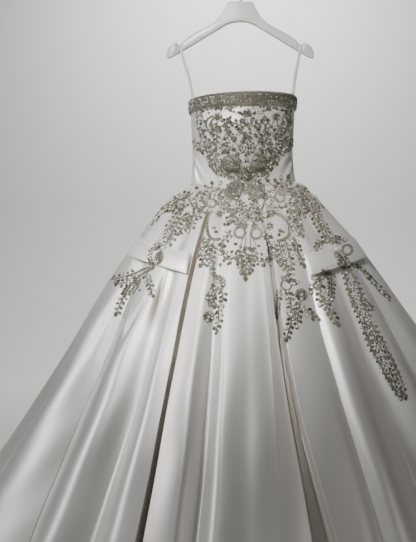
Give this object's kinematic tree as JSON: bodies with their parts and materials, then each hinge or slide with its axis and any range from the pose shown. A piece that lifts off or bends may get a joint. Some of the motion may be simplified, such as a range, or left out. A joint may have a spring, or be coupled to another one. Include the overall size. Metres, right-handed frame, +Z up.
{
  "type": "strapless ball-gown wedding dress on a hanger",
  "caption": "Ivory satin strapless wedding dress with a beaded bodice, bows and a full pleated skirt, hung by ribbon loops on a white hanger.",
  "frame": {"origin": "inner top of the hanger hook, where a rail carries it", "axes": "+Z up, the gown's front faces -Y, +X is the viewer's right"},
  "size_m": [1.9342, 1.554, 1.699],
  "materials": {
    "ivory_satin": "satin",
    "crystal_beads": "faceted",
    "white_ribbon": "satin",
    "hanger_white": "semi-gloss",
    "hook_steel": "satin"
  },
  "bodies": {
    "root": {"hanger_bar": "hanger_white", "hanger_hook": "hook_steel", "hanger_loop_left": "white_ribbon", "hanger_loop_right": "white_ribbon", "bodice_front": "ivory_satin", "bodice_side_front_left": "ivory_satin", "bodice_side_front_right": "ivory_satin", "bodice_side_back_left": "ivory_satin", "bodice_side_back_right": "ivory_satin", "bodice_back_left": "ivory_satin", "bodice_back_right": "ivory_satin", "hip_bow_left_inner": "ivory_satin", "hip_bow_left_outer": "ivory_satin", "hip_bow_right_inner": "ivory_satin", "hip_bow_right_outer": "ivory_satin", "skirt_front": "ivory_satin", "skirt_side_front_left": "ivory_satin", "skirt_side_front_right": "ivory_satin", "skirt_side_left": "ivory_satin", "skirt_side_right": "ivory_satin", "skirt_side_back_left": "ivory_satin", "skirt_side_back_right": "ivory_satin", "skirt_back_left": "ivory_satin", "skirt_back_right": "ivory_satin", "neckline_band_front": "crystal_beads", "neckline_band_back_left": "crystal_beads", "neckline_band_back_right": "crystal_beads", "waist_bow_knot": "crystal_beads", "waist_bow_loop_left": "crystal_beads", "waist_bow_loop_right": "crystal_beads", "waist_bow_tail_left": "crystal_beads", "waist_bow_tail_right": "crystal_beads", "hip_bow_left_knot": "crystal_beads", "hip_bow_right_knot": "crystal_beads", "back_zip_tape": "white_ribbon", "back_zip_pull": "hook_steel"}
  },
  "joints": []
}
